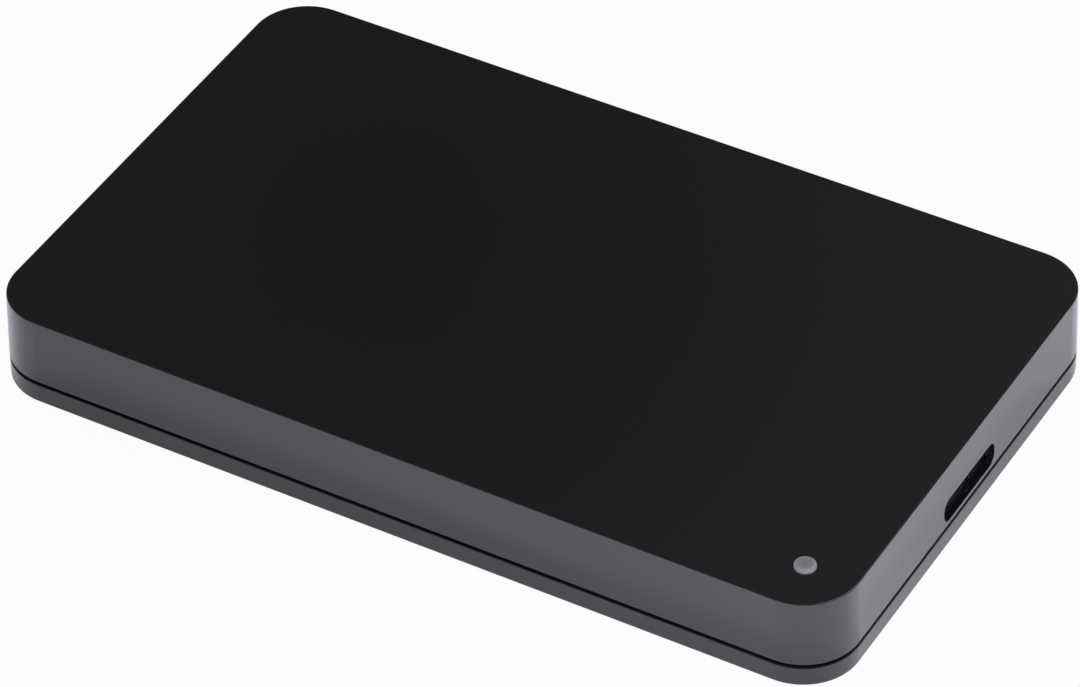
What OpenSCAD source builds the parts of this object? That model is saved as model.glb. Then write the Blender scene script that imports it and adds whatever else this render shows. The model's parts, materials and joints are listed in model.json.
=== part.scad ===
// Portable hard drive, 2.5 inch, in a two-part plastic case.
// The case lies on its base, centred on the origin. X runs towards the end
// with the data socket, Y across the case, and Z up.

/* [Case] */
// Length of the case, along X
case_l = 121; // [118:0.5:150]
// Width of the case, along Y
case_w = 74; // [73.6:0.2:95]
// Height of the case
case_h = 13.1; // [12.9:0.05:16]
// Corner radius of the case, seen from above
case_r = 7.7; // [6.5:0.1:10]
// Thickness of the side walls
wall = 1.6; // [1.5:0.05:2]
// Thickness of the roof
roof = 1.5; // [1:0.1:1.6]
// Thickness of the tray floor
floor_t = 1.5; // [1:0.1:1.6]
// Height of the tray's outer wall
tray_h = 2.85; // [2.4:0.05:3.1]
// Width of the shadow groove between tray and shell
groove = 0.5; // [0.2:0.05:0.6]
// How far each wall of the shell leans in towards the top
draft = 0.25; // [0:0.05:0.6]
// Radius of the shell's top edge
rim_round = 0.15; // [0.1:0.05:0.8]
// Radius of the two edges along the groove
seam_round = 0.2; // [0.1:0.05:0.4]
// Radius of the tray's bottom edge
foot_round = 0.3; // [0.2:0.1:1.5]
// Height of the tray's lip inside the shell
lip_h = 1.8; // [1.4:0.1:2.4]
// Thickness of the lip
lip_t = 0.75; // [0.6:0.05:0.9]
// Play between the lip and the shell
lip_gap = 0.1; // [0.05:0.05:0.2]

/* [Status light] */
// Distance of the light from the socket end
light_from_end = 7.3; // [7:0.1:12]
// Distance of the light from the front side
light_from_side = 7.3; // [7:0.1:12]
// Diameter of the light's lens
lens_d = 2.9; // [2:0.1:4]
// Height of the lens above the roof
lens_rise = 0.45; // [0.2:0.05:0.8]

/* [Data socket] */
// Width of the opening in the end wall
slot_w = 13.8; // [13.4:0.1:15]
// Height of the opening
slot_h = 3.5; // [3.15:0.05:4]
// Place of the socket across the case
slot_y = 0.4; // [-3:0.1:3]
// Width of the socket's metal shell
socket_w = 12.6; // [12.4:0.1:13]
// Height of the socket's metal shell
socket_h = 2.9; // [2.8:0.05:3]
// Depth of the socket
socket_depth = 6.6; // [6:0.1:8]
// How far the socket stands back from the end of the case
socket_recess = 1.2; // [0.8:0.1:1.6]

/* [Bridge board] */
// Thickness of the bridge board
bridge_t = 1; // [0.8:0.1:1.2]
// How far the bridge board reaches past the socket
bridge_margin = 5.3; // [4:0.1:8]

/* [Drive] */
// Length of the drive
drive_l = 100.2; // [98:0.1:100.6]
// Width of the drive
drive_w = 69.85; // [68:0.05:70.1]
// Height of the drive
drive_h = 7; // [6.9:0.05:7.3]
// Corner radius of the drive
drive_r = 3; // [2:0.5:4]
// Space between the drive and the closed end of the case
end_gap = 1.7; // [1:0.1:2]
// Thickness of the rubber under the drive
pad_t = 1.5; // [1:0.1:1.6]
// Length of each rubber bumper
bumper_l = 13; // [8:1:16]
// How far each bumper reaches over the drive from its side
bumper_grip = 5.5; // [4:0.5:7]

/* [Disc] */
// Diameter of the disc
disc_d = 65; // [62:0.5:66]
// Thickness of the disc
disc_t = 0.8; // [0.6:0.05:0.9]
// Diameter of the hole in the disc
disc_bore = 20; // [18:0.5:22]
// Distance of the spindle from the closed end of the drive
spindle_from_end = 35.5; // [35:0.1:37]

/* [Actuator] */
// Distance between the spindle and the arm's pivot
pivot_distance = 41; // [40.5:0.1:42]
// Direction from the spindle to the pivot, in degrees
pivot_bearing = 18; // [14:1:20]
// Distance from the pivot to the heads
arm_reach = 36; // [35:0.1:37]
// Radius of the innermost track
inner_track = 14; // [13.5:0.1:16]
// How far past the disc's edge the heads park
park_gap = 2; // [1.7:0.1:2.5]

/* [Hidden] */
$fn = 64;
eps = 0.01;

// Levels of the case
shell_z = tray_h + groove;
roof_z = case_h - roof;
lip_top = tray_h + lip_h;
lap = wall - lip_t;
inner_l = case_l - 2 * wall;
inner_w = case_w - 2 * wall;
inner_r = case_r - wall;

// Place of the drive
drive_x0 = -inner_l / 2 + end_gap;
drive_x1 = drive_x0 + drive_l;
drive_z = floor_t + pad_t;

// Bridge board and what stands on it
board_gap = 0.4;
board_edge_gap = 0.3;
board_x0 = drive_x1 + board_gap;
board_x1 = inner_l / 2 - board_edge_gap;
board_top = drive_z + 1.34;
board_y0 = -inner_w / 2 + 2.4;
board_y1 = slot_y + socket_w / 2 + bridge_margin;
slot_z = board_top + socket_h / 2;
slot_corner = 1.4;
socket_x1 = case_l / 2 - socket_recess;
socket_wall = 0.3;
socket_narrow = 3.8;
board_pin_r = 0.9;
board_post_r = 2;
bridge_mid_x = drive_x1 + 7.4;
board_pins = [
    [board_x0 + 3, board_y0 + 3],
    [board_x1 - 3, board_y1 - 3]
];

// Status light
light_x = case_l / 2 - light_from_end;
light_y = -case_w / 2 + light_from_side;
lens_gap = 0.12;
pipe_flange_r = lens_d / 2 + 0.8;
pipe_flange_t = 1;
led_h = 0.7;

// Snap hooks round the lip
hook_w = 5;
hook_out = 0.35;
hook_play = 0.12;
hook_z = tray_h + 0.9;
hook_h = 0.7;
side_hooks = [-0.36, -0.12, 0.12, 0.36];
end_hooks = [-0.3, 0.3];

// Drive levels, measured from the drive's underside
cover_t = 0.6;
gasket_t = 0.5;
rim_z = drive_h - cover_t - gasket_t;
cover_z = drive_h - cover_t;
deck_z = 2.45;
disc_z = deck_z + 1.3;
disc_mid = disc_z + disc_t / 2;
pcb_z = 0.5;
pcb_t = 0.8;
pcb_top = pcb_z + pcb_t;
pcb_pocket = 2;
chip_t = 0.65;

// Spindle
spindle_x = drive_x0 + spindle_from_end;
disc_pocket_r = disc_d / 2 + 1;
well_r = 13.2;
well_floor = 0.5;
sleeve_r = 3.2;
shaft_r = 1.45;
bearing_gap = 0.05;
rotor_r = 12.4;
rotor_wall = 1.4;
rotor_magnet_t = 1.1;
hub_play = 0.03;
clamp_t = 0.6;
stator_teeth = 9;
stator_r = rotor_r - rotor_wall - rotor_magnet_t - 0.4;

// Actuator: the arm stands parked on its ramp
function swing_angle(track) = acos(
    (pow(pivot_distance, 2) + pow(arm_reach, 2) - pow(track, 2))
    / (2 * pivot_distance * arm_reach));
park_angle = swing_angle(disc_d / 2 + park_gap);
inner_angle = swing_angle(inner_track);
swing = park_angle - inner_angle;
arm_heading = 180 + pivot_bearing + park_angle;
pivot_x = spindle_x + pivot_distance * cos(pivot_bearing);
pivot_y = pivot_distance * sin(pivot_bearing);
post_r = 1.5;
pivot_sleeve_r = 4.2;
arm_hub_r = 6.2;
arm_t = 0.55;
arm_lift = 0.95;
suspension_t = 0.15;
head_gap = 0.05;
coil_t = 1;
coil_half = 20;
coil_in = 8.6;
coil_out = 16;
coil_band = 2.1;
prong_deg = 6;
coil_clear = 0.25;
magnet_t = 0.45;
yoke_t = 0.5;
yoke_in = 8;
yoke_out = 18.8;
coil_heading = arm_heading - 180;
coil_low = coil_heading - swing;
post_circle = 17.55;
yoke_post_r = 1.15;
stop_r = 1.5;
stop_circle = 13;

magnet_z = disc_mid - coil_t / 2 - coil_clear - magnet_t;
upper_magnet_z = disc_mid + coil_t / 2 + coil_clear;
stop_deg = coil_half + prong_deg + asin((stop_r + 0.3) / stop_circle);
flex_r = 5.4;
flex_t = 0.15;
flex_h = 1.8;
flex_x = pivot_x + arm_hub_r - 0.3;
flex_y = pivot_y - 2.9 - flex_r;

// Openings of the casting
bay_x0 = spindle_x + 0.3 * disc_d;
bay_x1 = drive_x1 - 8;
bay_side = 2.4;
bay_r = 3;
plug_w = 33.2;
plug_y = -13;
notch_play = 0.3;
notch_depth = 6.8;
notch_h = 5.3;
receptacle_w = 31.4;
receptacle_h = 3.86;
receptacle_mid = board_top + receptacle_h / 2;
tongue_t = 1.2;
pcb_x0 = spindle_x + 7.5;
pcb_side = 4.6;
pcb_motor_r = well_r + 2.6;
cover_screw_in = 3.4;
cover_screw_xs = [drive_x0 + cover_screw_in, spindle_x + 16.5, drive_x1 - cover_screw_in];
cover_screw_y = drive_w / 2 - cover_screw_in;
screw_r = 0.8;
screw_head_r = 1.7;
pcb_screws = [
    [drive_x1 - 9.6, -drive_w / 2 + pcb_side + 2.6],
    [drive_x1 - 3.4, drive_w / 2 - pcb_side - 2.6],
    [spindle_x + 14, drive_w / 2 - pcb_side - 2.6],
    [spindle_x + 14, -drive_w / 2 + pcb_side + 2.6]
];

// A rectangle with round corners
module rounded_rect(l, w, r) {
    square([l - 2 * r, w], center = true);
    square([l, w - 2 * r], center = true);
    for (sx = [-1, 1], sy = [-1, 1])
        translate([sx * (l / 2 - r), sy * (w / 2 - r)]) circle(r = r);
}

// A block whose edge follows a rounded rectangle. The child is the edge's
// section, with X counted outwards from the centre of the corner.
module edge_block(l, w, r, h) {
    for (sx = [-1, 1], sy = [-1, 1])
        translate([sx * (l / 2 - r), sy * (w / 2 - r), 0]) rotate_extrude() children();
    rotate([90, 0, 0]) linear_extrude(w - 2 * r, center = true)
        edge_span(l - 2 * r, h) children();
    rotate([90, 0, 90]) linear_extrude(l - 2 * r, center = true)
        edge_span(w - 2 * r, h) children();
}

module edge_span(span, h) {
    translate([-span / 2, 0]) square([span, h]);
    for (side = [0, 1])
        mirror([side, 0]) translate([span / 2, 0]) children();
}

// Part of a ring between two directions
module arc_band(r_in, r_out, from, to) {
    reach = 2 * r_out;
    mid = (from + to) / 2;
    intersection() {
        difference() {
            circle(r = r_out);
            circle(r = r_in);
        }
        polygon([
            [0, 0],
            reach * [cos(from), sin(from)],
            reach * [cos(mid), sin(mid)],
            reach * [cos(to), sin(to)]
        ]);
    }
}

module at_drive() {
    translate([0, 0, drive_z]) children();
}

module at_spindle(z = 0) {
    translate([spindle_x, 0, drive_z + z]) children();
}

module at_pivot(z = 0) {
    translate([pivot_x, pivot_y, drive_z + z]) children();
}

// Section of the shell's leaning wall. Both rounds touch its outer face.
module shell_edge() {
    h = case_h - shell_z;
    lean = atan(draft / h);
    out = [cos(lean), sin(lean)];
    seam = [case_r - seam_round * (1 + out[1]) / out[0], seam_round];
    rim_y = h - rim_round;
    rim = [case_r - (rim_round + rim_y * out[1]) / out[0], rim_y];
    polygon([
        [0, 0], [seam[0], 0], seam + seam_round * out,
        rim + rim_round * out, [rim[0], h], [0, h]
    ]);
    translate(seam) circle(r = seam_round);
    translate(rim) circle(r = rim_round);
}

// Section of the tray's wall, with its round foot and upper edge
module tray_edge() {
    seam_y = tray_h - seam_round;
    translate([0, foot_round]) square([case_r, seam_y - foot_round]);
    square([case_r - foot_round, foot_round + eps]);
    translate([0, seam_y - eps]) square([case_r - seam_round, seam_round + eps]);
    translate([case_r - foot_round, foot_round]) circle(r = foot_round);
    translate([case_r - seam_round, seam_y]) circle(r = seam_round);
}

module inner_prism(inset, z0, z1) {
    translate([0, 0, z0]) linear_extrude(z1 - z0)
        rounded_rect(case_l - 2 * inset, case_w - 2 * inset, case_r - inset);
}

// One wedge for each snap hook, pointing outwards
module hook_wedge(play) {
    rotate([90, 0, 0]) linear_extrude(hook_w + 2 * play, center = true)
        polygon([
            [-eps - play, -play], [hook_out + play, hook_h - play],
            [hook_out + play, hook_h + play], [-eps - play, hook_h + play]
        ]);
}

module at_hooks() {
    face = lap + lip_gap;
    for (side = [0, 1], place = side_hooks)
        mirror([0, side, 0]) translate([place * case_l, case_w / 2 - face, hook_z])
            rotate([0, 0, 90]) children();
    for (place = end_hooks)
        translate([-case_l / 2 + face, place * case_w, hook_z]) rotate([0, 0, 180]) children();
    for (place = end_hooks)
        translate([case_l / 2 - face, place * case_w, hook_z]) children();
}

module socket_opening(grow, depth) {
    translate([case_l / 2 + 1, slot_y, slot_z]) rotate([90, 0, -90])
        linear_extrude(depth + 1)
            rounded_rect(slot_w + 2 * grow, slot_h + 2 * grow, slot_corner + grow);
}

// Upper half of the case, moulded in one piece
module top_shell() color("#1c1c1e") difference() {
    union() {
        difference() {
            translate([0, 0, shell_z]) edge_block(case_l, case_w, case_r, case_h - shell_z)
                shell_edge();
            inner_prism(wall, shell_z - eps, roof_z);
            inner_prism(lap, shell_z - eps, lip_top);
        }
        roof_ribs();
        light_boss();
    }
    translate([light_x, light_y, roof_z - eps])
        cylinder(r = lens_d / 2 + lens_gap, h = roof + 2 * eps);
    at_hooks() hook_wedge(hook_play);
    socket_opening(0, wall + 1);
}

// Shallow ribs under the roof, over the drive
module roof_ribs() {
    rib_t = 1;
    rib_h = (roof_z - drive_z - drive_h) / 2;
    spread = drive_w / 2 - bumper_grip - 5;
    translate([drive_x0 + drive_l / 2, 0, roof_z - rib_h / 2 + eps / 2]) {
        for (side = [-1, 0, 1])
            translate([0, side * spread, 0]) cube([drive_l - 8, rib_t, rib_h + eps], center = true);
        for (side = [-1, 0, 1])
            translate([side * drive_l / 4, 0, 0])
                cube([rib_t, 2 * spread, rib_h + eps], center = true);
    }
}

// Ring that guides the light pipe
module light_boss() {
    boss_h = 2.2;
    translate([light_x, light_y, roof_z - boss_h]) difference() {
        cylinder(r = pipe_flange_r + 0.9, h = boss_h + eps);
        translate([0, 0, -eps]) cylinder(r = pipe_flange_r + lens_gap, h = boss_h + eps);
    }
}

// Lower half of the case, with the lip and hooks that snap into the shell
module base_tray() color("#2a2a2c") {
    notch_w = slot_w + 3;
    difference() {
        union() {
            edge_block(case_l, case_w, case_r, tray_h) tray_edge();
            inner_prism(lap + lip_gap, tray_h - eps, lip_top);
            at_hooks() hook_wedge(0);
        }
        inner_prism(wall, floor_t, lip_top + eps);
        translate([case_l / 2 - wall - 1, slot_y - notch_w / 2, slot_z - slot_h / 2])
            cube([wall + 2, notch_w, lip_h + eps]);
    }
    tray_ribs();
    board_supports();
}

module tray_ribs() {
    rib_h = pad_t / 2;
    rib_t = 1;
    spread = drive_w / 2 - bumper_grip - 5;
    for (side = [-1, 1])
        translate([drive_x0 + 4, side * spread - rib_t / 2, floor_t - eps])
            cube([drive_l - 8, rib_t, rib_h + eps]);
    for (place = [0.2, 0.4, 0.6, 0.8])
        translate([drive_x0 + place * drive_l, -spread, floor_t - eps])
            cube([rib_t, 2 * spread, rib_h + eps]);
}

module board_supports() {
    for (place = board_pins) translate([place[0], place[1], floor_t - eps]) {
        cylinder(r = board_post_r, h = board_top - bridge_t - floor_t + eps);
        cylinder(r = board_pin_r, h = board_top - floor_t + 0.4);
    }
}

// Clear moulded pipe that carries the light to a raised lens in the roof
module light_pipe() color("#a9abae") translate([light_x, light_y, 0]) {
    foot = board_top + led_h + 0.15;
    lens_r = lens_d / 2;
    flat_r = lens_r - lens_rise;
    translate([0, 0, foot]) cylinder(r = lens_r - 0.3, h = roof_z - foot);
    translate([0, 0, roof_z - pipe_flange_t]) cylinder(r = pipe_flange_r, h = pipe_flange_t);
    translate([0, 0, roof_z - eps]) cylinder(r = lens_r, h = roof + eps);
    translate([0, 0, case_h - eps]) rotate_extrude() {
        square([flat_r, lens_rise + eps]);
        intersection() {
            translate([flat_r, eps]) circle(r = lens_rise);
            translate([flat_r - eps, 0]) square(lens_rise + eps);
        }
    }
}

module drive_outline() {
    translate([drive_x0 + drive_l / 2, 0]) rounded_rect(drive_l, drive_w, drive_r);
}

// Rubber bumper wrapped round one corner of the drive
module bumper(end, side) color("#3a3a3c") {
    length = end < 0 ? bumper_l + end_gap : bumper_l;
    x0 = end < 0 ? -inner_l / 2 : drive_x1 - bumper_l;
    y0 = drive_w / 2 - bumper_grip;
    difference() {
        intersection() {
            inner_prism(wall + lip_gap, floor_t, roof_z);
            mirror([0, side < 0 ? 1 : 0, 0]) translate([x0, y0, 0])
                cube([length, inner_w / 2 - y0, case_h]);
        }
        at_drive() linear_extrude(drive_h) drive_outline();
    }
}

module bumper_front_left() bumper(-1, -1);
module bumper_back_left() bumper(-1, 1);
module bumper_front_right() bumper(1, -1);
module bumper_back_right() bumper(1, 1);

// Small printed board between the drive and the end wall
module bridge_board() color("#1f6b3a") difference() {
    intersection() {
        inner_prism(wall + board_edge_gap, board_top - bridge_t, board_top);
        translate([board_x0, board_y0, 0]) cube([board_x1 - board_x0, board_y1 - board_y0, case_h]);
    }
    for (place = board_pins) translate([place[0], place[1], 0])
        cylinder(r = board_pin_r + 0.1, h = case_h);
}

// Outline of the socket: a wide mouth with cut lower corners, joined by a
// neck to a narrow one
module socket_mouth(grow) {
    low = socket_h - 2 * socket_wall;
    half = socket_w / 2 - socket_wall;
    step = half - socket_narrow - 0.8;
    polygon([
        [-half - grow, low / 2 + grow], [half + grow, low / 2 + grow],
        [half + grow, -low / 2 - grow], [half - socket_narrow - grow, -low / 2 - grow],
        [half - socket_narrow - grow, -0.1 - grow], [step + grow, -0.1 - grow],
        [step + grow, -low / 2 + 0.7], [step - 0.8, -low / 2 - grow],
        [-half + 0.8, -low / 2 - grow], [-half - grow, -low / 2 + 0.7]
    ]);
}

module along_socket(from_front, depth) {
    translate([socket_x1 - from_front - depth, slot_y, slot_z]) rotate([90, 0, 90])
        linear_extrude(depth) children();
}

// Folded metal shell of the socket
module usb_shell() color("#c9ccd0") difference() {
    along_socket(0, socket_depth) socket_mouth(socket_wall);
    along_socket(-eps, socket_depth - 0.6) socket_mouth(0);
}

// Plastic tongues inside the socket
module usb_tongue() color("#202022") {
    tongue_len = socket_depth - 1.6;
    low = socket_h - 2 * socket_wall;
    half = socket_w / 2 - socket_wall;
    along_socket(socket_depth - 1.5, 0.9 - eps) socket_mouth(-0.05);
    along_socket(0.8, tongue_len) {
        translate([-half + 3.6, low / 2 - 0.9]) square([4.8, 0.7], center = true);
        translate([half - socket_narrow / 2, low / 2 - 0.9]) square([2.6, 0.7], center = true);
    }
}

// Receptacle on the bridge board; its nose reaches into the drive's notch,
// over the drive's own board
module sata_receptacle() color("#151517") difference() {
    depth = 4.4;
    back = 3.4;
    nose_low = drive_z + pcb_top + 0.1;
    nose_high = drive_z + notch_h - 0.3;
    union() {
        translate([drive_x1 + 0.1, plug_y - receptacle_w / 2, board_top])
            cube([back, receptacle_w, receptacle_h]);
        translate([drive_x1 - depth, plug_y - receptacle_w / 2, nose_low])
            cube([depth + board_gap - 0.1, receptacle_w, nose_high - nose_low]);
    }
    plug_tongues(0.1, depth + 0.3);
}

// The plug's two L-shaped tongues, the short one for data
module plug_tongues(grow, depth) {
    data_w = 8.4;
    power_w = 18.6;
    key = 1.4;
    gap_y = 2.4;
    start = plug_y - (data_w + power_w + gap_y) / 2;
    tip = drive_x1 - 0.3 + (grow > 0 ? 0.2 : 0);
    for (blade = [[start, power_w], [start + power_w + gap_y, data_w]])
        translate([tip - depth, blade[0], receptacle_mid]) {
            translate([0, -grow, -tongue_t / 2 - grow])
                cube([depth, blade[1] + 2 * grow, tongue_t + 2 * grow]);
            translate([0, -grow, -tongue_t / 2 - grow])
                cube([depth, tongue_t + 2 * grow, key + tongue_t / 2 + 2 * grow]);
        }
}

module board_part(x, y, l, w, h) {
    translate([x - l / 2, y - w / 2, board_top]) cube([l, w, h]);
}

module bridge_chip() color("#18181a") board_part(bridge_mid_x, -12, 6, 6, 0.9);
module flash_chip() color("#18181a") board_part(bridge_mid_x + 0.4, -21, 4, 5, 1.5);
module board_crystal() color("#c4c7cb") board_part(bridge_mid_x, -3, 2.5, 3.2, 0.7);
module power_inductor() color("#55575b") board_part(board_x1 - 3, -17, 3, 3, 1.4);

module board_capacitors() color("#b08d57")
    for (step = [0:3])
        board_part(board_x1 - 3, -20.5 - 1.8 * step, 1.6, 0.8, 0.7);

module status_led() color("#e8e8dc") board_part(light_x, light_y, 2, 1.6, led_h);

// Hole pattern shared by the cover, the gasket and the casting
module at_cover_screws() {
    for (x = cover_screw_xs, side = [-1, 1]) translate([x, side * cover_screw_y]) children();
}

// The hollow that holds the disc and the actuator, seen from above
module bay_outline(grow) {
    l = bay_x1 - bay_x0;
    w = drive_w - 2 * bay_side;
    translate([spindle_x, 0]) circle(r = disc_pocket_r + grow);
    translate([bay_x0 + l / 2, 0]) rounded_rect(l + 2 * grow, w + 2 * grow, bay_r + grow);
}

module pcb_outline(grow) {
    l = drive_x1 - 0.3 - pcb_x0;
    difference() {
        translate([pcb_x0 - grow, -drive_w / 2 + pcb_side - grow])
            square([l + 2 * grow, drive_w - 2 * pcb_side + 2 * grow]);
        translate([spindle_x, 0]) circle(r = pcb_motor_r - grow);
    }
}

// Cast body of the drive, with the disc well, the arm bay and the motor seat
module drive_casting() color("#9a9da1") at_drive() difference() {
    linear_extrude(rim_z) drive_outline();
    translate([0, 0, deck_z]) linear_extrude(drive_h) bay_outline(0);
    difference() {
        translate([0, 0, -eps]) linear_extrude(pcb_pocket + eps) pcb_outline(0.3);
        for (place = pcb_screws) translate([place[0], place[1], pcb_top]) cylinder(r = 2.2, h = 2);
    }
    translate([drive_x1 - notch_depth, plug_y - plug_w / 2 - notch_play, -eps])
        cube([notch_depth + 1, plug_w + 2 * notch_play, notch_h + eps]);
    motor_seat();
    underside_pockets();
    for (place = pcb_screws) translate([place[0], place[1], pcb_top - eps])
        cylinder(r = screw_r + 0.05, h = 1);
    translate([0, 0, rim_z - 3]) linear_extrude(drive_h) at_cover_screws() circle(r = screw_r + 0.05);
}

module motor_seat() {
    translate([spindle_x, 0, well_floor]) cylinder(r = well_r, h = drive_h);
    translate([spindle_x, 0, -eps]) cylinder(r = sleeve_r, h = well_floor + 2 * eps);
}

// Lightening pockets between radial ribs, on the motor's closed side
module underside_pockets() {
    pockets = 5;
    pitch = 180 / pockets;
    rib_deg = 8;
    depth = 1.4;
    translate([spindle_x, 0, -eps]) linear_extrude(depth)
        for (step = [0:pockets - 1])
            arc_band(well_r + 2.8, disc_pocket_r - 4,
                90 + pitch * step + rib_deg / 2, 90 + pitch * (step + 1) - rib_deg / 2);
}

// Pressed lid with a round relief over the disc
module drive_cover() color("#c3c6ca") at_drive() difference() {
    inset = 0.3;
    translate([drive_x0 + drive_l / 2, 0, cover_z]) linear_extrude(cover_t)
        rounded_rect(drive_l - 2 * inset, drive_w - 2 * inset, drive_r - inset);
    translate([spindle_x, 0, drive_h - 0.25]) linear_extrude(1) difference() {
        circle(r = 25);
        circle(r = 9);
    }
    translate([pivot_x, pivot_y, drive_h - 0.25]) cylinder(r = 4, h = 1);
    at_cover_screws() translate([0, 0, cover_z - eps])
        cylinder(r1 = screw_r + 0.05, r2 = screw_head_r + 0.05, h = cover_t + 2 * eps);
}

// Soft seal between the lid and the casting
module cover_gasket() color("#2b2b2d") at_drive() translate([0, 0, rim_z])
    linear_extrude(gasket_t) difference() {
        inset = 0.7;
        translate([drive_x0 + drive_l / 2, 0])
            rounded_rect(drive_l - 2 * inset, drive_w - 2 * inset, drive_r - inset);
        bay_outline(0.4);
        at_cover_screws() circle(r = screw_r + 0.3);
    }

// Countersunk screws of the lid
module cover_screws() color("#7d8085") at_drive() at_cover_screws() {
    translate([0, 0, cover_z]) cylinder(r1 = screw_r, r2 = screw_head_r, h = cover_t);
    translate([0, 0, rim_z - 2.6]) cylinder(r = screw_r, h = cover_z - rim_z + 2.6 + eps);
}

// Controller board in the pocket under the casting
module drive_board() color("#1d5f34") at_drive() difference() {
    translate([0, 0, pcb_z]) linear_extrude(pcb_t) pcb_outline(0);
    for (place = pcb_screws) translate([place[0], place[1], 0]) cylinder(r = screw_r + 0.2, h = 3);
}

module drive_board_screws() color("#7d8085") at_drive()
    for (place = pcb_screws) translate([place[0], place[1], 0]) {
        translate([0, 0, 0.05]) cylinder(r = screw_head_r, h = pcb_z - 0.05);
        translate([0, 0, pcb_z - eps]) cylinder(r = screw_r, h = pcb_t + 0.6);
    }

// The drive's own plug, at the end of its board
module sata_plug() color("#151517") {
    base_t = 1.6;
    guide_t = 0.8;
    base_x = drive_x1 - 6.4;
    low = drive_z + pcb_top;
    high = drive_z + notch_h - 0.3;
    translate([base_x, plug_y - plug_w / 2, low]) cube([base_t, plug_w, high - low]);
    for (side = [-1, 1])
        translate([base_x, plug_y + side * (plug_w - guide_t) / 2 - guide_t / 2, low])
            cube([6, guide_t, high - low]);
    plug_tongues(0, drive_x1 - 0.3 - base_x - eps);
}

// Row of gold contacts along the plug's tongues
module plug_contacts() color("#c9a227") {
    data_pins = 7;
    power_pins = 15;
    pitch = 1.17;
    start = plug_y - 14.7;
    for (pin = [0:data_pins + power_pins - 1]) {
        gap = pin < power_pins ? 0.8 : 4.05;
        translate([drive_x1 - 4, start + gap + pitch * pin, receptacle_mid - tongue_t / 2 - 0.08])
            cube([3.2, 0.6, 0.08]);
    }
}

module pcb_part(x, y, l, w) {
    translate([x - l / 2, y - w / 2, drive_z + pcb_top]) cube([l, w, chip_t]);
}

module controller_chip() color("#18181a") pcb_part(drive_x1 - 22, 6, 11, 11);
module cache_chip() color("#18181a") pcb_part(drive_x1 - 22, -9, 8, 10);
module motor_chip() color("#18181a") pcb_part(drive_x1 - 22, 20, 7, 7);

// Fixed bearing sleeve in the middle of the motor seat
module spindle_sleeve() color("#b98d4a") at_spindle() difference() {
    cylinder(r = sleeve_r, h = disc_z - 0.35);
    translate([0, 0, 0.4]) cylinder(r = shaft_r + bearing_gap, h = drive_h);
}

// Laminated star of the motor
module stator_core() color("#6d7075") at_spindle(well_floor + 0.3) linear_extrude(1.5) {
    difference() {
        circle(r = sleeve_r + 1.3);
        circle(r = sleeve_r);
    }
    for (tooth = [0:stator_teeth - 1]) rotate(tooth * 360 / stator_teeth) {
        translate([sleeve_r + 1, -0.45]) square([stator_r - sleeve_r - 1.4, 0.9]);
        arc_band(stator_r - 0.7, stator_r, -13, 13);
    }
}

// Copper windings, one round each tooth
module stator_coils() color("#b4632f") at_spindle(well_floor + 0.1)
    for (tooth = [0:stator_teeth - 1]) rotate([0, 0, tooth * 360 / stator_teeth])
        translate([sleeve_r + 1.9, 0, 0]) difference() {
            length = stator_r - sleeve_r - 2.9;
            translate([0, -0.85, 0]) cube([length, 1.7, 1.9]);
            translate([-eps, -0.46, 0.2 - eps]) cube([length + 2 * eps, 0.92, 1.5 + 2 * eps]);
        }

// Ring magnet inside the skirt of the hub
module rotor_magnet() color("#4a4c50") at_spindle(0.8) difference() {
    r_out = rotor_r - rotor_wall;
    cylinder(r = r_out, h = 1.7);
    translate([0, 0, -eps]) cylinder(r = r_out - rotor_magnet_t, h = 2);
}

// Turned hub with its shaft, the disc seat and the skirt round the magnet
module spindle_hub() color("#b9bcc0") at_spindle() rotate_extrude() {
    boss_r = disc_bore / 2 - hub_play;
    crown = disc_z + disc_t + 0.2;
    difference() {
        polygon([
            [0, 0.55], [shaft_r, 0.55], [shaft_r, disc_z - 0.25],
            [rotor_r - rotor_wall, disc_z - 0.25], [rotor_r - rotor_wall, 0.7],
            [rotor_r, 0.7], [rotor_r, disc_z], [boss_r, disc_z],
            [boss_r, crown], [0, crown]
        ]);
        translate([0, disc_z - 1]) square([screw_r + 0.05, 3]);
    }
}

// Coated glass disc
module disc_platter() color("#d7dadd") at_spindle(disc_z) difference() {
    cylinder(r = disc_d / 2, h = disc_t);
    translate([0, 0, -eps]) cylinder(r = disc_bore / 2, h = disc_t + 2 * eps);
}

// Sprung clamp over the hub
module disc_clamp() color("#a5a8ad") at_spindle() rotate_extrude() {
    seat = disc_z + disc_t;
    crown = seat + 0.2;
    polygon([
        [screw_r + 0.05, crown], [disc_bore / 2 + 0.3, crown], [disc_bore / 2 + 0.7, seat],
        [disc_bore / 2 + 2.2, seat], [disc_bore / 2 + 2.2, seat + clamp_t / 2],
        [disc_bore / 2 + 0.6, crown + clamp_t], [screw_r + 0.05, crown + clamp_t]
    ]);
}

module clamp_screw() color("#7d8085") at_spindle(disc_z + disc_t + 0.2) {
    translate([0, 0, clamp_t]) cylinder(r = 2.2, h = 0.5);
    translate([0, 0, -1.1]) cylinder(r = screw_r, h = clamp_t + 1.1 + eps);
}

// Fixed post of the arm's pivot
module pivot_shaft() color("#c3c6ca") at_pivot(deck_z) {
    cylinder(r = 2.2, h = 0.15);
    cylinder(r = post_r, h = cover_z - deck_z);
}

module pivot_sleeve() color("#8e9196") at_pivot(disc_mid - arm_lift - arm_t) difference() {
    height = 2 * (arm_lift + arm_t) + 0.3;
    cylinder(r = pivot_sleeve_r, h = height);
    translate([0, 0, -eps]) cylinder(r = post_r + bearing_gap, h = height + 2 * eps);
}

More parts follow.
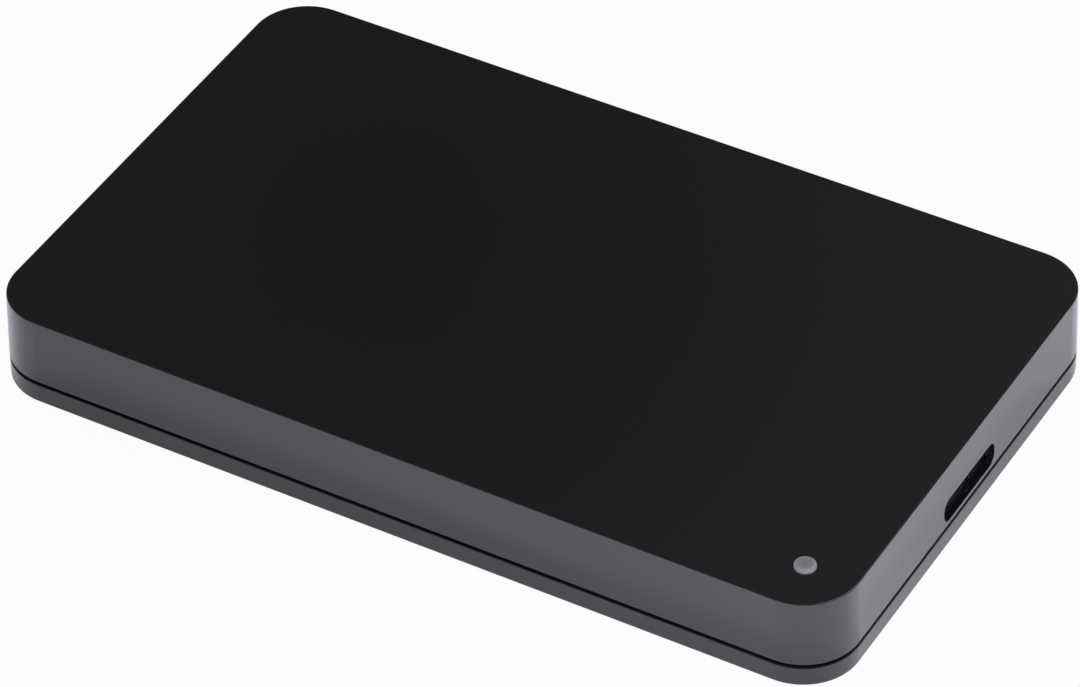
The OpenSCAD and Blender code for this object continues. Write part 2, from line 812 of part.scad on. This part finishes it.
// One arm, seen from above, pointing along X
module arm_outline() {
    tip = 23;
    difference() {
        polygon([[0, -arm_hub_r + 0.6], [tip, -2.4], [tip, 2.4], [0, arm_hub_r - 0.6]]);
        translate([14.5, 0]) circle(r = 1.8);
        circle(r = pivot_sleeve_r + 0.5);
    }
}

module coil_prongs() {
    inside = coil_half;
    for (side = [-1, 1]) {
        a = side * (inside + 0.6);
        b = side * (inside + prong_deg);
        arc_band(pivot_sleeve_r + 0.4, coil_out - 1.5, min(a, b), max(a, b));
    }
    arc_band(pivot_sleeve_r + 0.4, coil_in - 0.1, -coil_half, coil_half);
}

// Arm block: two arms, the pivot ring and the fork that carries the coil
module actuator_arm() color("#b5b8bc") at_pivot(disc_mid) rotate([0, 0, arm_heading]) {
    difference() {
        translate([0, 0, -arm_lift - arm_t])
            cylinder(r = arm_hub_r, h = 2 * (arm_lift + arm_t));
        translate([0, 0, -drive_h / 2])
            cylinder(r = pivot_sleeve_r + hub_play, h = drive_h);
    }
    for (low = [arm_lift, -arm_lift - arm_t])
        translate([0, 0, low]) linear_extrude(arm_t) arm_outline();
    translate([0, 0, -coil_t / 2]) rotate([0, 0, 180]) linear_extrude(coil_t) coil_prongs();
}

// Flat coil that swings between the magnets
module voice_coil() color("#b4632f") at_pivot(disc_mid - coil_t / 2)
    rotate([0, 0, coil_heading]) linear_extrude(coil_t) difference() {
        arc_band(coil_in, coil_out, -coil_half, coil_half);
        arc_band(coil_in + coil_band, coil_out - coil_band, -coil_half + 9, coil_half - 9);
    }

// Sprung blade under or over an arm, narrowing to the tab that rides the ramp
module suspension() {
    root = 20;
    polygon([
        [root, -2.3], [arm_reach + 0.6, -0.9], [arm_reach + 0.6, -0.35], [arm_reach + 3, -0.35],
        [arm_reach + 3, 0.35], [arm_reach + 0.6, 0.35], [arm_reach + 0.6, 0.9], [root, 2.3]
    ]);
}

module upper_suspension() color("#cfd2d6")
    at_pivot(disc_mid + arm_lift - suspension_t) rotate([0, 0, arm_heading])
        linear_extrude(suspension_t) suspension();

module lower_suspension() color("#cfd2d6")
    at_pivot(disc_mid - arm_lift) rotate([0, 0, arm_heading])
        linear_extrude(suspension_t) suspension();

module head_block(z) {
    height = arm_lift - suspension_t - disc_t / 2 - head_gap;
    at_pivot(z) rotate([0, 0, arm_heading]) translate([arm_reach - 0.6, -0.5, 0])
        cube([1.2, 1, height]);
}

module upper_head() color("#3b3d42") head_block(disc_mid + disc_t / 2 + head_gap);
module lower_head() color("#3b3d42") head_block(disc_mid - arm_lift + suspension_t);

// Steel yoke plate, seen from above
module yoke_outline(hole_r) {
    difference() {
        arc_band(yoke_in, yoke_out, coil_low - 14, coil_heading + 20);
        at_yoke_posts() circle(r = hole_r);
    }
}

module at_yoke_posts() {
    for (heading = [coil_low - 10, (coil_low + coil_heading) / 2 + 3, coil_heading + 15.5])
        rotate(heading) translate([post_circle, 0]) children();
}

module magnet_outline() {
    arc_band(coil_in + 0.4, coil_out, coil_low - 8, coil_heading + 8);
}

module lower_yoke() color("#85888d") at_pivot(deck_z)
    linear_extrude(magnet_z - deck_z) yoke_outline(yoke_post_r - 0.4);

module upper_yoke() color("#85888d") at_pivot(upper_magnet_z + magnet_t)
    linear_extrude(yoke_t) yoke_outline(yoke_post_r - 0.4);

module lower_magnet() color("#5a5c61") at_pivot(magnet_z)
    linear_extrude(magnet_t) magnet_outline();

module upper_magnet() color("#5a5c61") at_pivot(upper_magnet_z)
    linear_extrude(magnet_t) magnet_outline();

// Posts that hold the two yokes apart
module yoke_posts() color("#85888d") at_pivot(magnet_z) at_yoke_posts() {
    cylinder(r = yoke_post_r, h = upper_magnet_z + magnet_t - magnet_z);
    translate([0, 0, deck_z - magnet_z + 0.05])
        cylinder(r = yoke_post_r - 0.45, h = upper_magnet_z + magnet_t + yoke_t - deck_z - 0.1);
}

// Plastic ramp at the disc's edge, where the heads park
module load_ramp() color("#d9d4c4") at_pivot() rotate([0, 0, 180 + pivot_bearing]) difference() {
    leg_z = disc_mid - arm_lift + suspension_t + 0.03;
    leg_top = 2 * disc_mid - leg_z;
    slot_half = disc_t / 2 + 0.15;
    from = park_angle - 5;
    to = park_angle + 3.4;
    union() {
        translate([0, 0, leg_z]) linear_extrude(leg_top - leg_z)
            arc_band(arm_reach + 0.9, arm_reach + 4, from, to);
        translate([0, 0, deck_z]) linear_extrude(leg_top - deck_z)
            arc_band(arm_reach + 3.5, arm_reach + 7, from + 1.5, to);
    }
    translate([pivot_distance, 0, disc_mid - slot_half])
        cylinder(r = disc_d / 2 + 0.6, h = 2 * slot_half);
}

module stop_post(heading) {
    at_pivot(deck_z) rotate([0, 0, heading]) translate([stop_circle, 0, 0]) difference() {
        cylinder(r = stop_r, h = disc_mid + coil_t / 2 - deck_z);
        translate([0, 0, disc_mid + coil_t / 2 - deck_z - 0.4]) cylinder(r = 0.6, h = 1);
    }
}

module inner_stop() color("#2f2f31") stop_post(coil_low - stop_deg);
module outer_stop() color("#2f2f31") stop_post(coil_heading + stop_deg);

// Flexible strip between the bracket and the arm, bent in one loop
module flex_cable() color("#c98f3d") translate([flex_x, flex_y, drive_z + disc_mid - flex_h / 2])
    linear_extrude(flex_h) arc_band(flex_r - flex_t, flex_r, -90, 90);

module flex_bracket() color("#b9bcc0") {
    l = 7;
    w = 6;
    translate([flex_x - 2, flex_y - flex_r - w, drive_z + deck_z])
        cube([l, w, disc_mid + flex_h / 2 - deck_z]);
}

// Small air filter beside the disc, in the corner of the bay
module air_filter() color("#e6e4dc")
    translate([spindle_x + 31, -drive_w / 2 + bay_side + 0.3, drive_z + deck_z]) cube([9, 3, 3]);

top_shell();
base_tray();
light_pipe();
bumper_front_left();
bumper_back_left();
bumper_front_right();
bumper_back_right();
bridge_board();
usb_shell();
usb_tongue();
sata_receptacle();
bridge_chip();
flash_chip();
board_crystal();
power_inductor();
board_capacitors();
status_led();
drive_casting();
drive_cover();
cover_gasket();
cover_screws();
drive_board();
drive_board_screws();
sata_plug();
plug_contacts();
controller_chip();
cache_chip();
motor_chip();
spindle_sleeve();
stator_core();
stator_coils();
rotor_magnet();
spindle_hub();
disc_platter();
disc_clamp();
clamp_screw();
pivot_shaft();
pivot_sleeve();
actuator_arm();
voice_coil();
upper_suspension();
lower_suspension();
upper_head();
lower_head();
lower_yoke();
upper_yoke();
lower_magnet();
upper_magnet();
yoke_posts();
load_ramp();
inner_stop();
outer_stop();
flex_cable();
flex_bracket();
air_filter();
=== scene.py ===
# A portable hard drive in a black plastic case, on a white table in a photo studio.
import json
import math

import bpy
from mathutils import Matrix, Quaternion, Vector

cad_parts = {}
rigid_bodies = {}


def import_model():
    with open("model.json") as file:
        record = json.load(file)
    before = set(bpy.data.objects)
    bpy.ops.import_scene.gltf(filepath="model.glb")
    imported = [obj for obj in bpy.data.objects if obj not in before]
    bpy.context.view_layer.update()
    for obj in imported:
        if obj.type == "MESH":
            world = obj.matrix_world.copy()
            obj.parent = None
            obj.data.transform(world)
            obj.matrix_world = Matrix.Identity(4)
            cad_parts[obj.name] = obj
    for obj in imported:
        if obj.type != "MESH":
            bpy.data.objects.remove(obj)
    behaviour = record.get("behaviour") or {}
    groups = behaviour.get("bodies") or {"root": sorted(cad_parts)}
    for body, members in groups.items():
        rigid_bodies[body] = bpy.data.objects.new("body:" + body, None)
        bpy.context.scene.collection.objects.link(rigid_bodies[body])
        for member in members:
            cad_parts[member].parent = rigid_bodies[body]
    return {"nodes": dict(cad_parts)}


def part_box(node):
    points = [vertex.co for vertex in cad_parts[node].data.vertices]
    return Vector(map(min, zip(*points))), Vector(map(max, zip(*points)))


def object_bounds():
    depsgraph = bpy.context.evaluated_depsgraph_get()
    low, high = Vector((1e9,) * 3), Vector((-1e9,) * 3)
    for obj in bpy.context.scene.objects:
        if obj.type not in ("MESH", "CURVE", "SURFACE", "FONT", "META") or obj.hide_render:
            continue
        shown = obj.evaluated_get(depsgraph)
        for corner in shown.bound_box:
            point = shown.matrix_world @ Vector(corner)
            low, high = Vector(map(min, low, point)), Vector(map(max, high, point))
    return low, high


MM = 0.001

# The camera stands to the front right of the case and looks down on it. Angles are in degrees, and
# the focal length and the sensor in millimetres.
CAMERA_AZIMUTH = 30.233
CAMERA_ELEVATION = 40.753
CAMERA_ROLL = 0.971
CAMERA_DISTANCE = 760.83 * MM
CAMERA_TARGET = Vector((-1.204, 1.440, 2.147)) * MM
CAMERA_LENS = 198.23
SENSOR_WIDTH = 36.0
NEAREST_SEEN = 10 * MM

TABLE_HALF_WIDTH = 2.5
# The base just clears the table, so that the two faces don't flicker through each other
TABLE_GAP = 0.1 * MM
# How much of the table is plain white to the camera, and in reflections. The rest is the lit laminate.
WHITE_TO_CAMERA = 0.94
WHITE_IN_REFLECTIONS = 0.15

# A faint violet, as the walls of the case show in the photo
LAMP_COLOUR = "#f4f0ff"
# Pale up to the horizon, and black from 30 degrees above it. The fade is given in sines.
HORIZON_COLOUR = "#dedee2"
HORIZON_FADE = (0.05, 0.5)
# The ceiling is darkest behind the case, where the roof mirrors it to the camera, and pales away from
# there over the reach, in radians
DARK_DIRECTION = (-0.4103, 0.6514, 0.6382)
DARK_REACH = 0.16
CEILING_DARK = 0.03
CEILING_PALE = 0.13

# The radius of the status light's lens, in millimetres
LENS_RADIUS = 1.45

# A Mix node's colour sockets come after those for its other kinds of value
MIX_FACTOR, MIX_A, MIX_B, MIX_RESULT = 0, 6, 7, 2
# The scale at which a Wave texture gives about one wave for each unit of length
ONE_WAVE = 1 / 3.14


def linear_colour(hex_code):
    """An sRGB hex value as linear red, green, blue and alpha."""
    channels = [int(hex_code[i:i + 2], 16) / 255 for i in (1, 3, 5)]
    linear = [c / 12.92 if c <= 0.04045 else ((c + 0.055) / 1.055) ** 2.4 for c in channels]
    return (*linear, 1.0)


def add_node(tree, kind, inputs=None, **settings):
    """Adds a node with its settings. Each input is a value, or a socket to link from."""
    node = tree.nodes.new(kind)
    for name, value in settings.items():
        setattr(node, name, value)
    for name, value in (inputs or {}).items():
        if isinstance(value, bpy.types.NodeSocket):
            tree.links.new(value, node.inputs[name])
        else:
            node.inputs[name].default_value = value
    return node


def start_material(name, colour, roughness, **sockets):
    """A Principled material, and its tree, shader and Object coordinates in millimetres."""
    material = bpy.data.materials.new(name)
    material.use_nodes = True
    tree = material.node_tree
    shader = tree.nodes["Principled BSDF"]
    shader.inputs["Base Color"].default_value = linear_colour(colour)
    shader.inputs["Roughness"].default_value = roughness
    for socket, value in sockets.items():
        shader.inputs[socket.replace("_", " ")].default_value = value
    place = add_node(tree, "ShaderNodeTexCoord")
    in_mm = add_node(tree, "ShaderNodeVectorMath", {0: place.outputs["Object"], "Scale": 1 / MM},
                     operation="SCALE")
    return material, tree, shader, in_mm.outputs[0]


def vary_roughness(tree, shader, pattern, low, high):
    """The pattern, from 0 to 1, sets the roughness from low to high."""
    spread = add_node(tree, "ShaderNodeMapRange", {"Value": pattern, "To Min": low, "To Max": high})
    tree.links.new(spread.outputs[0], shader.inputs["Roughness"])


def vary_colour(tree, shader, pattern, dark, light):
    """The pattern, from 0 to 1, sets the colour from dark to light."""
    blend = add_node(tree, "ShaderNodeMix", {MIX_FACTOR: pattern, MIX_A: linear_colour(dark),
                                             MIX_B: linear_colour(light)}, data_type="RGBA")
    tree.links.new(blend.outputs[MIX_RESULT], shader.inputs["Base Color"])


def raise_surface(tree, shader, pattern, depth_mm, strength=1.0):
    """The pattern stands proud of the surface by up to depth_mm."""
    bump = add_node(tree, "ShaderNodeBump", {"Height": pattern, "Distance": depth_mm * MM,
                                             "Strength": strength})
    tree.links.new(bump.outputs[0], shader.inputs["Normal"])


def gloss_abs_shell():
    """Black ABS from a polished mould, lacquered: a deep even black with two layers of gloss."""
    material, tree, shader, mm = start_material("polished black ABS", "#121213", 0.11, IOR=1.54,
                                                Coat_Weight=1.0, Coat_Roughness=0.06)
    flow = add_node(tree, "ShaderNodeTexNoise", {"Vector": mm, "Scale": 1 / 24, "Detail": 3.0})
    vary_roughness(tree, shader, flow.outputs[0], 0.09, 0.13)
    peel = add_node(tree, "ShaderNodeTexNoise", {"Vector": mm, "Scale": 1 / 1.6, "Detail": 2.0})
    raise_surface(tree, shader, peel.outputs[0], 0.004)
    return material


def satin_abs_tray():
    """The same ABS from a finely etched mould: the gloss is a little softer than on the shell."""
    material, tree, shader, mm = start_material("satin black ABS", "#151517", 0.24, IOR=1.54,
                                                Coat_Weight=0.9, Coat_Roughness=0.14)
    etch = add_node(tree, "ShaderNodeTexNoise", {"Vector": mm, "Scale": 1 / 0.35, "Detail": 4.0})
    vary_roughness(tree, shader, etch.outputs[0], 0.2, 0.3)
    raise_surface(tree, shader, etch.outputs[0], 0.006, 0.6)
    return material


def milky_polycarbonate(centre_mm, lens_radius_mm):
    """Clear plastic with a milky filler, grey when unlit, with a paler ring painted round its rim: painted
    light for the glow of the dome's lit edge.
    """
    material, tree, shader, mm = start_material(
        "milky polycarbonate", "#6b6e6c", 0.42, IOR=1.58, Subsurface_Weight=0.35,
        Subsurface_Scale=1.2 * MM, Subsurface_Radius=(1.0, 1.0, 1.0), Coat_Weight=0.3,
        Coat_Roughness=0.3)
    flat = add_node(tree, "ShaderNodeVectorMath", {0: mm, 1: (1.0, 1.0, 0.0)}, operation="MULTIPLY")
    reach = add_node(tree, "ShaderNodeVectorMath", {0: flat.outputs[0],
                                                    1: (centre_mm[0], centre_mm[1], 0.0)},
                     operation="DISTANCE")
    cloud = add_node(tree, "ShaderNodeTexNoise", {"Vector": mm, "Scale": 1 / 0.9, "Detail": 2.0})
    uneven = add_node(tree, "ShaderNodeMath", {0: cloud.outputs[0], 1: 0.5, 2: reach.outputs["Value"]},
                      operation="MULTIPLY_ADD")
    # Painted light: the colour turns paler towards the lens's rim, for the brighter edge of the lit dome
    painted_rim_light = add_node(tree, "ShaderNodeMapRange", {"Value": uneven.outputs[0],
                                                "From Min": 0.65 * lens_radius_mm,
                                                "From Max": 1.15 * lens_radius_mm})
    # The paler colour is the painted rim light
    vary_colour(tree, shader, painted_rim_light.outputs[0], "#6b6e6c", "#858886")
    return material


def moulded_resin(name, colour, lighter, roughness, grain_mm):
    """Resin or rubber with the fine grain of its mould."""
    material, tree, shader, mm = start_material(name, colour, roughness)
    grain = add_node(tree, "ShaderNodeTexNoise", {"Vector": mm, "Scale": 1 / grain_mm, "Detail": 4.0})
    vary_colour(tree, shader, grain.outputs[0], colour, lighter)
    raise_surface(tree, shader, grain.outputs[0], grain_mm / 12, 0.5)
    return material


def worked_metal(name, colour, roughness, squeeze, grain_mm):
    """Metal with the marks of its making, drawn out along the side where squeeze is smallest."""
    material, tree, shader, mm = start_material(name, colour, roughness, Metallic=1.0)
    lay = add_node(tree, "ShaderNodeMapping", {"Vector": mm, "Scale": squeeze})
    marks = add_node(tree, "ShaderNodeTexNoise", {"Vector": lay.outputs[0], "Scale": 1 / grain_mm,
                                                  "Detail": 4.0})
    vary_roughness(tree, shader, marks.outputs[0], roughness - 0.07, roughness + 0.1)
    raise_surface(tree, shader, marks.outputs[0], 0.0015, 0.5)
    return material


def turned_metal(name, colour, roughness, centre_mm, pitch_mm):
    """Metal from the lathe, with fine rings round its centre."""
    material, tree, shader, mm = start_material(name, colour, roughness, Metallic=1.0)
    centred = add_node(tree, "ShaderNodeMapping", {"Vector": mm, "Location": centre_mm})
    rings = add_node(tree, "ShaderNodeTexWave", {"Vector": centred.outputs[0],
                                                 "Scale": ONE_WAVE / pitch_mm, "Distortion": 0.3},
                     wave_type="RINGS", rings_direction="Z")
    vary_roughness(tree, shader, rings.outputs[1], roughness - 0.04, roughness + 0.06)
    raise_surface(tree, shader, rings.outputs[1], 0.0008, 0.4)
    return material


def polished_disc():
    """Aluminium lapped flat, plated and coated: a mirror, with only a faint cloudy haze."""
    material, tree, shader, mm = start_material("polished disc coating", "#cfd1d4", 0.05, Metallic=1.0)
    haze = add_node(tree, "ShaderNodeTexNoise", {"Vector": mm, "Scale": 1 / 9, "Detail": 3.0})
    vary_roughness(tree, shader, haze.outputs[0], 0.03, 0.08)
    return material


def solder_mask_board():
    """Green lacquer over glass fibre, with copper tracks that show as lighter lines."""
    material, tree, shader, mm = start_material("green solder mask", "#0d4424", 0.32, Coat_Weight=0.5)
    tracks = add_node(tree, "ShaderNodeTexVoronoi", {"Vector": mm, "Scale": 1 / 2.4, "Randomness": 0.55},
                      distance="MANHATTAN", feature="DISTANCE_TO_EDGE")
    lines = add_node(tree, "ShaderNodeMapRange", {"Value": tracks.outputs["Distance"], "From Min": 0.05,
                                                  "From Max": 0.09, "To Min": 1.0, "To Max": 0.0})
    vary_colour(tree, shader, lines.outputs[0], "#0d4424", "#1c6a3c")
    raise_surface(tree, shader, lines.outputs[0], 0.035, 0.8)
    return material


def wound_copper():
    """Lacquered copper wire, wound close: fine parallel ridges with an orange sheen. The colour is painted
    darker in the grooves between turns and lighter on their tops, as painted shade and light.
    """
    material, tree, shader, mm = start_material("lacquered copper wire", "#b4602c", 0.3, Metallic=1.0,
                                                Coat_Weight=0.6)
    turns_and_painted_shade = add_node(tree, "ShaderNodeTexWave", {"Vector": mm, "Scale": ONE_WAVE / 0.4,
                                                 "Distortion": 0.5}, bands_direction="Z")
    # Painted shade: the colour darkens in the grooves between turns and pales on their tops
    vary_colour(tree, shader, turns_and_painted_shade.outputs[1], "#8c4520", "#c8743a")
    raise_surface(tree, shader, turns_and_painted_shade.outputs[1], 0.05)
    return material


def filter_felt():
    """White pressed felt: soft, matt and slightly hairy."""
    material, tree, shader, mm = start_material("pressed filter felt", "#e4e2da", 0.95, Sheen_Weight=0.4)
    hairs = add_node(tree, "ShaderNodeTexNoise", {"Vector": mm, "Scale": 1 / 0.25, "Detail": 6.0})
    vary_colour(tree, shader, hairs.outputs[0], "#d6d3c8", "#f0eee8")
    raise_surface(tree, shader, hairs.outputs[0], 0.08)
    return material


def make_materials():
    """Each finish of the real drive, with the nodes that have it."""
    spindle_centre = box_middle("disc_platter") * -1 / MM
    lens_centre = box_middle("light_pipe") / MM
    even = (1.0, 1.0, 1.0)
    brushed = (0.12, 1.0, 1.0)
    # Dull charcoal with a fine speckle
    chip = moulded_resin("moulded chip resin", "#17171a", "#222226", 0.55, 0.3)
    # Dark, smooth and slightly shiny
    nylon = moulded_resin("black nylon", "#18181a", "#202023", 0.42, 0.5)
    # Matt and soft, a little greyer than the hard plastic
    rubber = moulded_resin("soft black rubber", "#242426", "#303033", 0.8, 0.4)
    board = solder_mask_board()
    copper = wound_copper()
    # Bright grey and almost smooth
    nickel = worked_metal("nickel-plated steel", "#b4b6ba", 0.24, even, 0.8)
    # Darker than the plated steel, and a clearer mirror
    magnet = worked_metal("nickel-plated magnet", "#8b8e93", 0.2, even, 1.5)
    # Mid-grey with a soft sheen
    screw = worked_metal("zinc-plated screw steel", "#85888d", 0.33, even, 0.3)
    # Bright, with fine lines from the rollers
    blade = worked_metal("rolled spring steel", "#c4c6ca", 0.22, brushed, 0.3)
    # Pale and satin, with the lines of the cutter
    alloy = worked_metal("machined aluminium", "#c2c4c8", 0.3, brushed, 0.4)
    # Pale and brighter than the machined piece
    turned = turned_metal("turned aluminium", "#c4c6c9", 0.24, spindle_centre, 0.25)
    return {
        gloss_abs_shell(): ["top_shell"],
        satin_abs_tray(): ["base_tray"],
        milky_polycarbonate(lens_centre, LENS_RADIUS): ["light_pipe"],
        rubber: ["bumper_front_left", "bumper_back_left", "bumper_front_right", "bumper_back_right",
                 "inner_stop", "outer_stop"],
        # Matt dark grey, like a bead of glue
        moulded_resin("cured gasket", "#2a2a2c", "#363639", 0.75, 0.5): ["cover_gasket"],
        board: ["bridge_board", "drive_board"],
        chip: ["bridge_chip", "flash_chip", "power_inductor", "controller_chip", "cache_chip",
               "motor_chip"],
        nylon: ["usb_tongue", "sata_receptacle", "sata_plug"],
        # Bright silver, a little cloudy
        worked_metal("tin-plated folded steel", "#bfc1c4", 0.28, even, 0.6): ["usb_shell"],
        # Yellow and shiny
        worked_metal("gold-plated contact", "#d2a63c", 0.22, even, 0.3): ["plug_contacts"],
        nickel: ["board_crystal", "disc_clamp", "pivot_shaft", "pivot_sleeve", "lower_yoke",
                 "upper_yoke", "yoke_posts"],
        magnet: ["rotor_magnet", "lower_magnet", "upper_magnet"],
        screw: ["cover_screws", "drive_board_screws", "clamp_screw"],
        # Sandy brown, neither matt nor shiny
        moulded_resin("tan capacitor ceramic", "#9a7c54", "#b08f63", 0.5, 0.2): ["board_capacitors"],
        # Clean white with a soft shine
        moulded_resin("white diode resin", "#dfe0d8", "#efefe8", 0.4, 0.4): ["status_led"],
        # Mid-grey and matt, with a fine even grain
        worked_metal("blasted die-cast alloy", "#94979b", 0.48, even, 0.5): ["drive_casting"],
        # Satin, with long fine lines
        worked_metal("pressed stainless lid", "#b9bbbf", 0.3, brushed, 0.35): ["drive_cover"],
        # Brown gold, with the dull look of pressed powder
        worked_metal("sintered bronze", "#a97f45", 0.4, even, 0.3): ["spindle_sleeve"],
        # Dark grey, with thin layers one on another
        worked_metal("stacked silicon steel", "#6c6f74", 0.42, (1.0, 1.0, 6.0), 0.5): ["stator_core"],
        copper: ["stator_coils", "voice_coil"],
        turned: ["spindle_hub"],
        polished_disc(): ["disc_platter"],
        alloy: ["actuator_arm", "flex_bracket"],
        blade: ["upper_suspension", "lower_suspension"],
        # Nearly black, hard and smooth
        moulded_resin("slider ceramic", "#34363b", "#43454b", 0.35, 0.2): ["upper_head", "lower_head"],
        # Creamy white and waxy
        moulded_resin("natural acetal", "#d8d2c2", "#e4dfd2", 0.45, 0.6): ["load_ramp"],
        # Amber brown with an even shine
        moulded_resin("amber polyimide film", "#b8792c", "#c98a3a", 0.3, 1.0): ["flex_cable"],
        filter_felt(): ["air_filter"],
    }


def dress_nodes(frame):
    """Every node of the CAD model keeps its shape and gets its material."""
    for material, nodes in make_materials().items():
        for name in nodes:
            for used in frame["nodes"][name].material_slots:
                used.material = material


def add_table():
    """A white table top. It is nearly plain white to the eye, and shows its shading in reflections."""
    bpy.ops.object.select_all(action="DESELECT")
    bpy.ops.mesh.primitive_plane_add(size=2 * TABLE_HALF_WIDTH, location=(0, 0, -TABLE_GAP))
    table = bpy.context.object
    table.name = "table_top"
    material = bpy.data.materials.new("white laminate")
    material.use_nodes = True
    tree = material.node_tree
    tree.nodes.remove(tree.nodes["Principled BSDF"])
    lit = add_node(tree, "ShaderNodeBsdfDiffuse", {"Color": linear_colour("#ececec")})
    glow = add_node(tree, "ShaderNodeEmission", {"Color": linear_colour("#ffffff"), "Strength": 1.0})
    path = add_node(tree, "ShaderNodeLightPath")
    bounced = add_node(tree, "ShaderNodeMath", {0: path.outputs["Is Glossy Ray"],
                                                1: path.outputs["Is Transmission Ray"]},
                       operation="MAXIMUM")
    mirrored = add_node(tree, "ShaderNodeMath", {0: bounced.outputs[0], 1: WHITE_IN_REFLECTIONS},
                        operation="MULTIPLY")
    share = add_node(tree, "ShaderNodeMath", {0: path.outputs["Is Camera Ray"], 1: WHITE_TO_CAMERA,
                                              2: mirrored.outputs[0]}, operation="MULTIPLY_ADD")
    blend = add_node(tree, "ShaderNodeMixShader", {0: share.outputs[0], 1: lit.outputs[0],
                                                   2: glow.outputs[0]})
    tree.links.new(blend.outputs[0], tree.nodes["Material Output"].inputs["Surface"])
    table.data.materials.append(material)


def add_softbox(name, place, aim, size, power, mirrored=True):
    """A flat lamp, in watts. One that isn't mirrored lights the scene but leaves no patch in the gloss."""
    light = bpy.data.lights.new(name, "AREA")
    light.shape = "RECTANGLE"
    light.size, light.size_y = size
    light.energy = power
    light.color = linear_colour(LAMP_COLOUR)[:3]
    softbox = bpy.data.objects.new(name, light)
    softbox.location = place
    softbox.rotation_mode = "QUATERNION"
    softbox.rotation_quaternion = (aim - place).to_track_quat("-Z", "Y")
    softbox.visible_glossy = mirrored
    bpy.context.scene.collection.objects.link(softbox)


def add_lights(centre):
    """Five lamps. The back and far ones throw the case's shade on the table that its walls mirror."""
    add_softbox("back_softbox", Vector((0.12, 0.34, 0.67)), centre, (0.35, 0.30), 0.93)
    add_softbox("far_softbox", Vector((-0.22, 0.36, 0.70)), centre, (0.15, 0.15), 1.26, mirrored=False)
    add_softbox("left_softbox", Vector((-0.50, 0.0, 0.60)), centre, (0.35, 0.30), 1.0, mirrored=False)
    add_softbox("front_softbox", Vector((0.10, -0.90, 0.30)), centre, (0.30, 0.30), 1.9, mirrored=False)
    add_softbox("near_softbox", Vector((0.15, -0.12, 0.11)), centre, (0.08, 0.08), 0.26, mirrored=False)


def light_world():
    """A pale studio with a dark ceiling, darkest where the roof mirrors it to the camera."""
    world = bpy.data.worlds.new("studio")
    bpy.context.scene.world = world
    world.use_nodes = True
    tree = world.node_tree
    back = tree.nodes["Background"]
    place = add_node(tree, "ShaderNodeTexCoord")
    split = add_node(tree, "ShaderNodeSeparateXYZ", {0: place.outputs["Generated"]})
    height = add_node(tree, "ShaderNodeValToRGB", {0: split.outputs["Z"]})
    height.color_ramp.interpolation = "EASE"
    for stop, position, colour in zip(height.color_ramp.elements, HORIZON_FADE,
                                      (HORIZON_COLOUR, "#000000")):
        stop.position = position
        stop.color = linear_colour(colour)
    facing = add_node(tree, "ShaderNodeVectorMath", {0: place.outputs["Generated"], 1: DARK_DIRECTION},
                      operation="DOT_PRODUCT")
    away = add_node(tree, "ShaderNodeMath", {0: facing.outputs["Value"]}, operation="ARCCOSINE")
    ceiling = add_node(tree, "ShaderNodeMapRange", {"Value": away.outputs[0], "From Max": DARK_REACH,
                                                    "To Min": CEILING_DARK, "To Max": CEILING_PALE})
    both = add_node(tree, "ShaderNodeMix", {MIX_FACTOR: 1.0, MIX_A: height.outputs[0],
                                            MIX_B: ceiling.outputs[0]},
                    data_type="RGBA", blend_type="ADD")
    path = add_node(tree, "ShaderNodeLightPath")
    sky = add_node(tree, "ShaderNodeMix", {MIX_FACTOR: path.outputs["Is Camera Ray"],
                                           MIX_A: both.outputs[MIX_RESULT],
                                           MIX_B: linear_colour("#ffffff")}, data_type="RGBA")
    tree.links.new(sky.outputs[MIX_RESULT], back.inputs["Color"])
    back.inputs["Strength"].default_value = 1.0


def add_camera():
    azimuth = math.radians(CAMERA_AZIMUTH)
    elevation = math.radians(CAMERA_ELEVATION)
    back = Vector((math.sin(azimuth) * math.cos(elevation), -math.cos(azimuth) * math.cos(elevation),
                   math.sin(elevation)))
    data = bpy.data.cameras.new("photo_camera")
    data.lens = CAMERA_LENS
    data.sensor_width = SENSOR_WIDTH
    data.clip_start = NEAREST_SEEN
    camera = bpy.data.objects.new("photo_camera", data)
    camera.location = CAMERA_TARGET + back * CAMERA_DISTANCE
    camera.rotation_mode = "QUATERNION"
    level = (-back).to_track_quat("-Z", "Y")
    camera.rotation_quaternion = level @ Quaternion((0, 0, 1), -math.radians(CAMERA_ROLL))
    bpy.context.scene.collection.objects.link(camera)
    bpy.context.scene.camera = camera


def box_middle(node):
    low, high = (Vector(corner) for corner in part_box(node))
    return (low + high) / 2


def main():
    bpy.ops.object.select_all(action="SELECT")
    bpy.ops.object.delete()
    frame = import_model()
    cad_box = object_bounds()
    add_camera()
    dress_nodes(frame)
    add_table()
    add_lights((cad_box[0] + cad_box[1]) / 2)
    light_world()
    bpy.context.scene.view_settings.view_transform = "Standard"


main()
